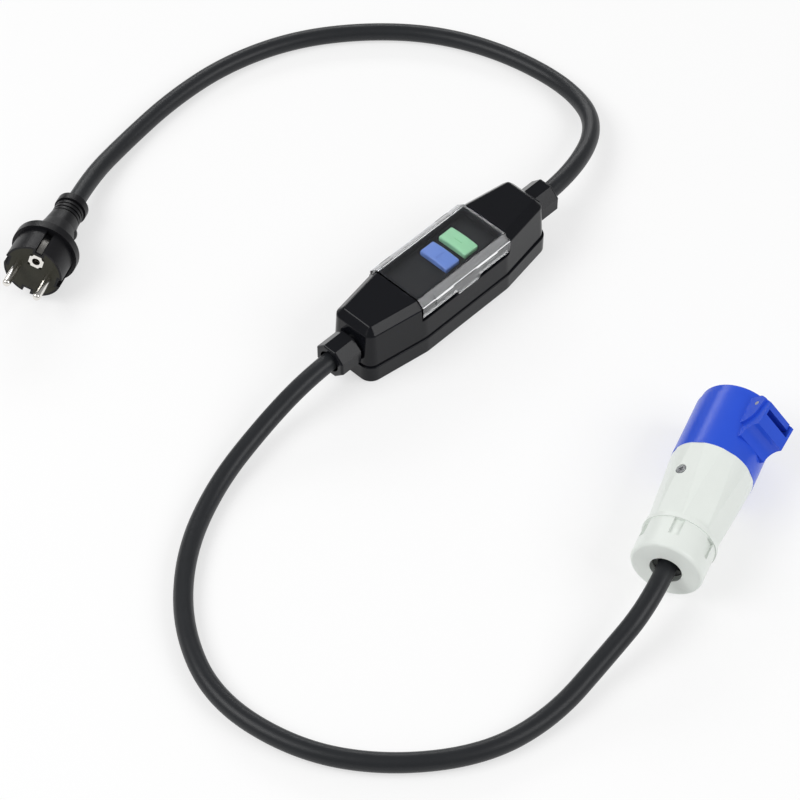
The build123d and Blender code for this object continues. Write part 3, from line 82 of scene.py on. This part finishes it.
# Place and size of each lamp, in metres; all of them face the origin
LAMPS = {
    "key": ((-1.3, 0.6, 1.5), (1.4, 1.0)),
    "fill": ((0.6, -1.5, 1.3), (1.4, 1.0)),
    "rim": ((1.3, 1.5, 1.0), (1.6, 0.5)),
}

# Repeats per metre of the mottle, the haze in the clear cover, the stripes and the turns
MOTTLE_SCALE = 90
HAZE_SCALE = 60
STRIPE_SCALE = 120
TURN_SCALE = 900

# Height of a material's grain, in metres
GRAIN_HEIGHT = 0.0002

# Springs under the keys, with the joint that presses each
SPRING_JOINTS = {"test_spring": "test_press", "reset_spring": "reset_press"}

# Finish of each group of carried-over pieces
FINISHES = {
    "housing": ["housing_base", "housing_top", "gland_nut_near", "gland_nut_far"],
    "panel": ["front_panel"],
    "clear": ["clear_cover"],
    "blue_key": ["test_button"],
    "green_key": ["reset_button"],
    "plug_rubber": ["plug_body"],
    "insert": ["plug_insert"],
    "sheath": ["cable_tails", "plug_tail", "connector_tail"],
    "seal": ["housing_gasket", "gland_seals", "connector_seal", "lid_gasket"],
    "blue": ["connector_socket", "contact_carrier", "connector_lid"],
    "white": ["connector_body", "connector_nut"],
    "claws": ["clamp_ring"],
    "nickel": ["plug_pins", "earth_socket"],
    "dull_nickel": ["earth_clips"],
    "steel": [
        "housing_screws", "cover_hinge_pin", "clamp_screws", "connector_screw", "lid_hinge_pin",
        "lid_spring", "terminal_screws", "trip_plunger",
    ],
    "brass": ["test_contact", "fixed_contacts", "live_contacts", "earth_contact"],
    "moulded": ["cable_clamps", "mechanism_frame", "contact_carriage", "coil_bobbin"],
    "board": ["circuit_board"],
    "cases": ["board_components"],
    "core": ["sensing_core"],
    "copper": ["sensing_winding", "coil_winding"],
    "wire_brown": ["live_wire_in", "live_wire_out"],
    "wire_blue": ["neutral_wire_in", "neutral_wire_out"],
    "wire_earth": ["earth_wire"],
    "wire_mixed": ["plug_wires", "connector_wires"],
}

# Colour, roughness, metal share, grain size in millimetres, bump height, mottle, coat, specular
SURFACES = {
    "housing": ((0.006, 0.0065, 0.0085), 0.15, 0.0, 0.35, 0.05, 0.10, 0.0, 0.19),
    "panel": ((0.006, 0.0065, 0.008), 0.42, 0.0, 0.25, 0.15, 0.10, 0.0, 0.20),
    "blue_key": ((0.090, 0.165, 0.44), 0.42, 0.0, 0.40, 0.12, 0.08, 0.05, 0.40),
    "green_key": ((0.22, 0.46, 0.27), 0.42, 0.0, 0.40, 0.12, 0.08, 0.05, 0.40),
    "plug_rubber": ((0.008, 0.008, 0.0095), 0.34, 0.0, 0.30, 0.16, 0.18, 0.0, 0.20),
    "insert": ((0.030, 0.029, 0.020), 0.50, 0.0, 0.25, 0.18, 0.15, 0.0, 0.20),
    "sheath": ((0.017, 0.0185, 0.021), 0.38, 0.0, 0.30, 0.22, 0.20, 0.0, 0.28),
    "seal": ((0.016, 0.016, 0.018), 0.60, 0.0, 0.20, 0.15, 0.10, 0.0, 0.20),
    "blue": ((0.024, 0.088, 0.65), 0.26, 0.0, 0.50, 0.05, 0.06, 0.0, 0.30),
    "white": ((0.80, 0.84, 0.80), 0.38, 0.0, 0.45, 0.08, 0.04, 0.08, 0.40),
    "nickel": ((0.80, 0.78, 0.74), 0.20, 1.0, 0.15, 0.05, 0.10, 0.0, 0.40),
    "claws": ((0.10, 0.105, 0.10), 0.30, 0.0, 0.40, 0.10, 0.20, 0.0, 0.50),
    "dull_nickel": ((0.20, 0.195, 0.185), 0.42, 1.0, 0.15, 0.08, 0.20, 0.0, 0.40),
    "steel": ((0.55, 0.56, 0.58), 0.30, 1.0, 0.15, 0.08, 0.15, 0.0, 0.40),
    "brass": ((0.72, 0.52, 0.22), 0.26, 1.0, 0.15, 0.06, 0.12, 0.0, 0.40),
    "moulded": ((0.28, 0.29, 0.30), 0.45, 0.0, 0.35, 0.12, 0.06, 0.0, 0.40),
    "board": ((0.015, 0.13, 0.045), 0.35, 0.0, 1.20, 0.05, 0.25, 0.15, 0.40),
    "cases": ((0.03, 0.045, 0.14), 0.38, 0.0, 0.50, 0.08, 0.20, 0.05, 0.40),
    "core": ((0.03, 0.03, 0.033), 0.55, 0.0, 0.25, 0.20, 0.15, 0.0, 0.40),
    "wire_brown": ((0.13, 0.05, 0.02), 0.40, 0.0, 0.50, 0.05, 0.08, 0.0, 0.40),
    "wire_blue": ((0.02, 0.11, 0.50), 0.40, 0.0, 0.50, 0.05, 0.08, 0.0, 0.40),
    "wire_mixed": ((0.13, 0.11, 0.09), 0.40, 0.0, 0.50, 0.05, 0.30, 0.0, 0.40),
}


class CordSettings(bpy.types.PropertyGroup):
    """Sizes of the two free cords"""

    diameter: FloatProperty(
        name="Diameter", description="Thickness of both cords", default=0.011, min=0.002,
        unit="LENGTH",
    )
    plug_length: FloatProperty(
        name="Plug side length", description="Length of the cord from the housing to the plug",
        default=0.506, min=0.1, unit="LENGTH",
    )
    connector_length: FloatProperty(
        name="Connector side length",
        description="Length of the cord from the housing to the connector",
        default=0.547, min=0.1, unit="LENGTH",
    )


class FinishSettings(bpy.types.PropertyGroup):
    """Colours of the pieces that show most"""

    housing: FloatVectorProperty(
        name="Housing", description="Colour of the housing and its gland nuts",
        default=SURFACES["housing"][0], min=0, max=1, subtype="COLOR",
    )
    blue_key: FloatVectorProperty(
        name="Test key", description="Colour of the key that tests the device",
        default=SURFACES["blue_key"][0], min=0, max=1, subtype="COLOR",
    )
    green_key: FloatVectorProperty(
        name="Reset key", description="Colour of the key that closes the contacts again",
        default=SURFACES["green_key"][0], min=0, max=1, subtype="COLOR",
    )
    sheath: FloatVectorProperty(
        name="Cord sheath", description="Colour of the rubber on both cords",
        default=SURFACES["sheath"][0], min=0, max=1, subtype="COLOR",
    )
    plug_rubber: FloatVectorProperty(
        name="Plug body", description="Colour of the plug's rubber body",
        default=SURFACES["plug_rubber"][0], min=0, max=1, subtype="COLOR",
    )
    blue: FloatVectorProperty(
        name="Connector front", description="Colour of the connector's shroud and lid",
        default=SURFACES["blue"][0], min=0, max=1, subtype="COLOR",
    )
    white: FloatVectorProperty(
        name="Connector body", description="Colour of the connector's body and nut",
        default=SURFACES["white"][0], min=0, max=1, subtype="COLOR",
    )


class StudioSettings(bpy.types.PropertyGroup):
    """Camera, lamps and floor"""

    heading: FloatProperty(
        name="Camera heading", description="Turn of the view about the upright axis",
        default=radians(45.81), subtype="ANGLE",
    )
    drop: FloatProperty(
        name="Camera pitch", description="How far below level the camera looks",
        default=radians(50.56), subtype="ANGLE",
    )
    reach: FloatProperty(
        name="Camera distance", description="Distance from the camera to the object's origin",
        default=1.6409, min=0.1, unit="LENGTH",
    )
    offset: FloatVectorProperty(
        name="Camera offset", description="Where the origin lies in the view, across and up",
        size=2, default=(0.02343, 0.0590), unit="LENGTH",
    )
    lens: FloatProperty(
        name="Lens", description="Focal length on a sensor 36 mm wide", default=125.73,
        min=10, unit="CAMERA",
    )
    floor_shade: FloatProperty(
        name="Floor shade", description="How pale the floor is", default=0.95, min=0, max=1,
        subtype="FACTOR",
    )
    floor_glow: FloatProperty(
        name="Floor glow", description="Share of the floor that the camera sees as plain white",
        default=0.6, min=0, max=1, subtype="FACTOR",
    )
    sky: FloatProperty(
        name="Sky strength", description="Strength of the even light from all round",
        default=0.34, min=0,
    )
    key_power: FloatProperty(
        name="Key lamp", description="Power of the large lamp behind and to the left",
        default=22, min=0, unit="POWER",
    )
    fill_power: FloatProperty(
        name="Fill lamp", description="Power of the lamp on the camera's side", default=17,
        min=0, unit="POWER",
    )
    rim_power: FloatProperty(
        name="Rim lamp", description="Power of the narrow lamp behind and to the right",
        default=12, min=0, unit="POWER",
    )


def scene_settings():
    """The groups of settings, in the panel's order."""
    scene = bpy.context.scene
    return scene.adapter_cords, scene.adapter_finishes, scene.adapter_studio


def link_chain(tree, *pairs):
    """Link output and input sockets given as (node, socket, node, socket)."""
    for a, out, b, into in pairs:
        tree.links.new(a.outputs[out], b.inputs[into])


def grain_group():
    """Shared effect: fine grain, slow mottle and a roughness that follows them."""
    group = bpy.data.node_groups.get("surface_grain")
    if group:
        return group
    group = bpy.data.node_groups.new("surface_grain", "ShaderNodeTree")
    face = group.interface
    face.new_socket("Vector", in_out="INPUT", socket_type="NodeSocketVector")
    face.new_socket("Color", in_out="INPUT", socket_type="NodeSocketColor")
    for name in ("Roughness", "Grain", "Height", "Mottle"):
        face.new_socket(name, in_out="INPUT", socket_type="NodeSocketFloat")
    face.new_socket("Color", in_out="OUTPUT", socket_type="NodeSocketColor")
    face.new_socket("Roughness", in_out="OUTPUT", socket_type="NodeSocketFloat")
    face.new_socket("Normal", in_out="OUTPUT", socket_type="NodeSocketVector")
    add = group.nodes.new
    given, result = add("NodeGroupInput"), add("NodeGroupOutput")
    fine, slow, bump = add("ShaderNodeTexNoise"), add("ShaderNodeTexNoise"), add("ShaderNodeBump")
    fine.inputs["Detail"].default_value = 3.0
    slow.inputs["Scale"].default_value = MOTTLE_SCALE
    slow.inputs["Detail"].default_value = 4.0
    centred, spread = add("ShaderNodeMath"), add("ShaderNodeMath")
    centred.operation, spread.operation = "SUBTRACT", "MULTIPLY_ADD"
    centred.inputs[1].default_value = 0.5
    spread.inputs[2].default_value = 1.0
    tint = add("ShaderNodeVectorMath")
    tint.operation = "SCALE"
    rough = add("ShaderNodeMath")
    rough.operation, rough.use_clamp = "MULTIPLY", True
    bump.inputs["Distance"].default_value = GRAIN_HEIGHT
    link_chain(
        group, (given, "Vector", fine, "Vector"), (given, "Grain", fine, "Scale"),
        (given, "Vector", slow, "Vector"), (slow, "Fac", centred, 0), (centred, 0, spread, 0),
        (given, "Mottle", spread, 1), (given, "Color", tint, 0), (spread, 0, tint, "Scale"),
        (tint, 0, result, "Color"), (given, "Roughness", rough, 0), (spread, 0, rough, 1),
        (rough, 0, result, "Roughness"), (fine, "Fac", bump, "Height"),
        (given, "Height", bump, "Strength"), (bump, "Normal", result, "Normal"),
    )
    return group


def surface(tree, shader, name):
    """A moulded, rubber or metal finish from its row in SURFACES."""
    color, rough, metal, grain, height, mottle, coat, spec = SURFACES[name]
    color = getattr(bpy.context.scene.adapter_finishes, name, color)
    where, effect = tree.nodes.new("ShaderNodeTexCoord"), tree.nodes.new("ShaderNodeGroup")
    effect.node_tree = grain_group()
    effect.inputs["Color"].default_value = (*color, 1)
    effect.inputs["Roughness"].default_value = rough
    effect.inputs["Grain"].default_value = 1000 / grain
    effect.inputs["Height"].default_value = height
    effect.inputs["Mottle"].default_value = mottle
    shader.inputs["Metallic"].default_value = metal
    shader.inputs["Specular IOR Level"].default_value = 0.5 if metal else spec
    shader.inputs["Coat Weight"].default_value = coat
    shader.inputs["Coat Roughness"].default_value = 0.12
    link_chain(
        tree, (where, "Object", effect, "Vector"), (effect, "Color", shader, "Base Color"),
        (effect, "Roughness", shader, "Roughness"), (effect, "Normal", shader, "Normal"),
    )


def clear_plastic(tree, shader):
    """Clear moulding that lets lamplight through to what it covers."""
    add, out = tree.nodes.new, tree.nodes["Material Output"]
    rays, mix = add("ShaderNodeLightPath"), add("ShaderNodeMixShader")
    clear, where = add("ShaderNodeBsdfTransparent"), add("ShaderNodeTexCoord")
    noise, ramp = add("ShaderNodeTexNoise"), add("ShaderNodeMapRange")
    shader.inputs["Base Color"].default_value = (0.97, 0.98, 0.99, 1)
    shader.inputs["Transmission Weight"].default_value = 1.0
    shader.inputs["IOR"].default_value = 1.36
    clear.inputs["Color"].default_value = (0.96, 0.97, 0.98, 1)
    noise.inputs["Scale"].default_value = HAZE_SCALE
    ramp.inputs["To Min"].default_value = 0.0
    ramp.inputs["To Max"].default_value = 0.02
    link_chain(
        tree, (where, "Object", noise, "Vector"), (noise, "Fac", ramp, "Value"),
        (ramp, "Result", shader, "Roughness"), (rays, "Is Shadow Ray", mix, "Fac"),
        (shader, "BSDF", mix, 1), (clear, 0, mix, 2), (mix, 0, out, "Surface"),
    )


def striped_wire(tree, shader):
    """Earth insulation in two colours along the wire."""
    kinds = ("ShaderNodeTexCoord", "ShaderNodeTexWave", "ShaderNodeValToRGB")
    where, wave, ramp = (tree.nodes.new(kind) for kind in kinds)
    wave.bands_direction = "Y"
    wave.inputs["Scale"].default_value = STRIPE_SCALE
    ramp.color_ramp.interpolation = "CONSTANT"
    ramp.color_ramp.elements[0].color = (0.04, 0.28, 0.03, 1)
    ramp.color_ramp.elements[1].color = (0.72, 0.62, 0.02, 1)
    ramp.color_ramp.elements[1].position = 0.5
    shader.inputs["Roughness"].default_value = 0.4
    link_chain(
        tree, (where, "Object", wave, "Vector"), (wave, "Fac", ramp, "Fac"),
        (ramp, "Color", shader, "Base Color"),
    )


def wound_copper(tree, shader):
    """Enamelled wire in close turns."""
    kinds = ("ShaderNodeTexCoord", "ShaderNodeTexWave", "ShaderNodeBump")
    where, wave, bump = (tree.nodes.new(kind) for kind in kinds)
    wave.inputs["Scale"].default_value = TURN_SCALE
    bump.inputs["Strength"].default_value = 0.6
    bump.inputs["Distance"].default_value = GRAIN_HEIGHT
    shader.inputs["Base Color"].default_value = (0.52, 0.20, 0.08, 1)
    shader.inputs["Metallic"].default_value = 0.9
    shader.inputs["Roughness"].default_value = 0.3
    link_chain(
        tree, (where, "Object", wave, "Vector"), (wave, "Fac", bump, "Height"),
        (bump, "Normal", shader, "Normal"),
    )


def finish(name):
    """The material of this name, made when it is first asked for."""
    material = bpy.data.materials.get("finish_" + name)
    if material:
        return material
    material = bpy.data.materials.new("finish_" + name)
    material.use_nodes = True
    tree = material.node_tree
    shader = tree.nodes["Principled BSDF"]
    special = {"clear": clear_plastic, "wire_earth": striped_wire, "copper": wound_copper}
    if name in special:
        special[name](tree, shader)
    else:
        surface(tree, shader, name)
    return material


def build_cord(name, diameter):
    """A free cord as a round NURBS curve through its control points."""
    curve = bpy.data.curves.new(name, "CURVE")
    curve.dimensions = "3D"
    curve.bevel_depth = diameter / 2
    curve.bevel_resolution = 8
    curve.resolution_u = 16
    curve.use_fill_caps = True
    spline = curve.splines.new("NURBS")
    points = CORD_POINTS[name]
    spline.points.add(len(points) - 1)
    for point, place in zip(spline.points, points):
        point.co = (*place, 1)
    spline.order_u = 3
    spline.use_endpoint_u = True
    cord = bpy.data.objects.new(name + "_sheath", curve)
    bpy.context.scene.collection.objects.link(cord)
    curve.materials.append(finish("sheath"))
    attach(cord, "adapter")
    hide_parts(name)


class ADAPTER_OT_cords(bpy.types.Operator):
    """Lay the two free cords along their control points"""

    bl_idname = "adapter.cords"
    bl_label = "Cords"

    def execute(self, context):
        cords = context.scene.adapter_cords
        build_cord("cord_plug_side", cords.diameter)
        build_cord(
            "cord_connector_side", cords.diameter,
        )
        return {"FINISHED"}


def pressed_spring(name):
    """A key's spring, copied from its piece with shared points merged and its faces smooth."""
    shape = bmesh.new()
    shape.from_mesh(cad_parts[name].data)
    bmesh.ops.remove_doubles(shape, verts=shape.verts, dist=1e-6)
    for face in shape.faces:
        face.smooth = True
    mesh = bpy.data.meshes.new(name + "_turns")
    shape.to_mesh(mesh)
    shape.free()
    mesh.materials.append(finish("steel"))
    spring = bpy.data.objects.new(name + "_turns", mesh)
    bpy.context.scene.collection.objects.link(spring)
    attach(spring, "adapter")
    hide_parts(name)
    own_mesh(spring)


class ADAPTER_OT_springs(bpy.types.Operator):
    """Put in the two springs that the keys press"""

    bl_idname = "adapter.springs"
    bl_label = "Springs"

    def execute(self, context):
        for name, joint in SPRING_JOINTS.items():
            pressed_spring(name)
        return {"FINISHED"}


class ADAPTER_OT_finishes(bpy.types.Operator):
    """Give every carried-over piece its procedural finish"""

    bl_idname = "adapter.finishes"
    bl_label = "Finishes"

    def execute(self, context):
        for name, members in FINISHES.items():
            for member in members:
                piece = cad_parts[member]
                if not piece.material_slots:
                    piece.data.materials.append(None)
                for slot in piece.material_slots:
                    slot.material = finish(name)
        return {"FINISHED"}


def pale_floor(tone, share):
    """Matt floor that is partly plain white to the eye and in what reflects it."""
    material = bpy.data.materials.new("pale_floor")
    material.use_nodes = True
    tree = material.node_tree
    base, out = tree.nodes["Principled BSDF"], tree.nodes["Material Output"]
    base.inputs["Base Color"].default_value = (tone, tone, tone, 1)
    base.inputs["Roughness"].default_value = 0.9
    base.inputs["Specular IOR Level"].default_value = 0.0
    add = tree.nodes.new
    rays, glow = add("ShaderNodeLightPath"), add("ShaderNodeEmission")
    blend = add("ShaderNodeMixShader")
    seen, shown, lift = (add("ShaderNodeMath") for _ in range(3))
    seen.operation = shown.operation = "MAXIMUM"
    lift.operation = "MULTIPLY"
    lift.inputs[1].default_value = share
    link_chain(
        tree, (rays, "Is Camera Ray", seen, 0), (rays, "Is Transmission Ray", seen, 1),
        (seen, 0, shown, 0), (rays, "Is Glossy Ray", shown, 1), (shown, 0, lift, 0),
        (lift, 0, blend, "Fac"), (base, "BSDF", blend, 1), (glow, 0, blend, 2),
        (blend, 0, out, "Surface"),
    )
    return material


def area_light(name, place, size, power):
    """A soft rectangular lamp that faces the origin."""
    light = bpy.data.lights.new(name, "AREA")
    light.shape, light.size, light.size_y = "RECTANGLE", size[0], size[1]
    light.energy = power
    lamp = bpy.data.objects.new(name, light)
    lamp.location = place
    lamp.rotation_euler = (-Vector(place)).to_track_quat("-Z", "Y").to_euler()
    bpy.context.scene.collection.objects.link(lamp)


class ADAPTER_OT_stage(bpy.types.Operator):
    """Set the pale floor, the soft lights and the camera"""

    bl_idname = "adapter.stage"
    bl_label = "Stage"

    def execute(self, context):
        scene = context.scene
        studio = scene.adapter_studio
        mesh = bpy.data.meshes.new("floor")
        shape = bmesh.new()
        bmesh.ops.create_grid(
            shape, x_segments=1, y_segments=1, size=FLOOR_HALF,
            matrix=Matrix.Translation((0, 0, -FLOOR_GAP)),
        )
        shape.to_mesh(mesh)
        shape.free()
        floor = bpy.data.objects.new("floor", mesh)
        scene.collection.objects.link(floor)
        mesh.materials.append(pale_floor(studio.floor_shade, studio.floor_glow))
        world = bpy.data.worlds.new("studio")
        scene.world = world
        world.use_nodes = True
        back = world.node_tree.nodes["Background"]
        back.inputs["Color"].default_value = (1, 1, 1, 1)
        back.inputs["Strength"].default_value = studio.sky
        for name, (place, size) in LAMPS.items():
            area_light(name, place, size, getattr(studio, name + "_power"))
        turn, drop = studio.heading, studio.drop
        lens = bpy.data.cameras.new("camera")
        camera = bpy.data.objects.new("camera", lens)
        scene.collection.objects.link(camera)
        right = Vector((cos(turn), -sin(turn), 0))
        ahead = Vector((sin(turn) * cos(drop), cos(turn) * cos(drop), -sin(drop)))
        up = right.cross(ahead)
        basis = Matrix((right, up, -ahead)).transposed()
        place = -studio.offset[0] * right - studio.offset[1] * up - studio.reach * ahead
        camera.matrix_world = Matrix.Translation(place) @ basis.to_4x4()
        lens.lens, lens.sensor_width, lens.clip_end = studio.lens, SENSOR, SEES_TO
        scene.camera = camera
        scene.view_settings.view_transform = "Standard"
        return {"FINISHED"}


class ADAPTER_PT_panel(bpy.types.Panel):
    """Settings and steps of the adapter"""

    bl_idname = "ADAPTER_PT_panel"
    bl_label = "Adapter"
    bl_space_type = "VIEW_3D"
    bl_region_type = "UI"
    bl_category = "Adapter"

    def draw(self, context):
        column = self.layout.column()
        for settings in scene_settings():
            for name in type(settings).__annotations__:
                column.prop(settings, name)
        for step in STEPS:
            column.operator(step.bl_idname)


STEPS = (ADAPTER_OT_cords, ADAPTER_OT_springs, ADAPTER_OT_finishes, ADAPTER_OT_stage)
CLASSES = (CordSettings, FinishSettings, StudioSettings, *STEPS, ADAPTER_PT_panel)


def register():
    for cls in CLASSES:
        bpy.utils.register_class(cls)
    bpy.types.Scene.adapter_cords = PointerProperty(type=CordSettings)
    bpy.types.Scene.adapter_finishes = PointerProperty(type=FinishSettings)
    bpy.types.Scene.adapter_studio = PointerProperty(type=StudioSettings)


def unregister():
    del bpy.types.Scene.adapter_studio
    del bpy.types.Scene.adapter_finishes
    del bpy.types.Scene.adapter_cords
    for cls in reversed(CLASSES):
        bpy.utils.unregister_class(cls)


def main():
    """Make the whole scene."""
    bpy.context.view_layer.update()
    register()
    bpy.ops.adapter.cords()
    bpy.ops.adapter.springs()
    bpy.ops.adapter.finishes()
    bpy.ops.adapter.stage()


if __name__ == "__main__":
    main()
